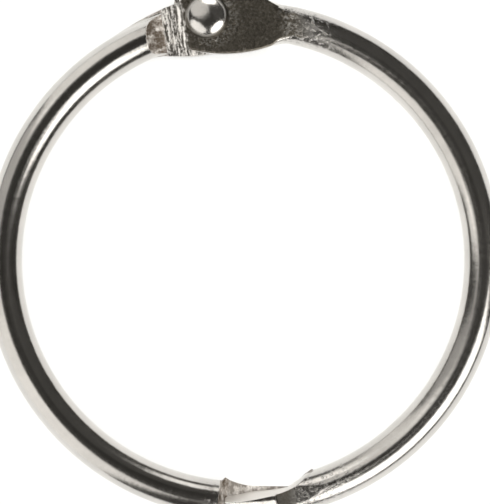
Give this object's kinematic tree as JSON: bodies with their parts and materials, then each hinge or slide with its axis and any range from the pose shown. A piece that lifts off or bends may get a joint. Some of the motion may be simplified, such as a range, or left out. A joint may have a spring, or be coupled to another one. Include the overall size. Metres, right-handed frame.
{
  "type": "binder ring",
  "caption": "Hinged loose-leaf ring of plated steel wire: two half rings riveted together at the hinge, with half-thick tongues that hook over each other at the clasp.",
  "frame": {"origin": "centre of the closed ring, on the plane where the two half rings meet, which is the middle of the wire", "axes": "the ring lies flat: +Z through the ring towards the rivet's domed head, +Y towards the hinge, +X towards the right half ring"},
  "size_m": [0.0444, 0.0462, 0.0043],
  "materials": {
    "nickel_wire": "nickel plate over drawn steel wire, with scratched and coined ears",
    "bright_nickel": "bright polished nickel plate"
  },
  "bodies": {
    "left_half": {"left_half_ring": "nickel_wire", "hinge_rivet": "bright_nickel"},
    "right_half": {"right_half_ring": "nickel_wire"}
  },
  "joints": [
    {"name": "ring_hinge", "type": "hinge", "parent": "left_half", "child": "right_half", "pos_m": [0, 0.0211, 0], "axis": [0, 0, 1], "range_deg": [0, 110]}
  ]
}
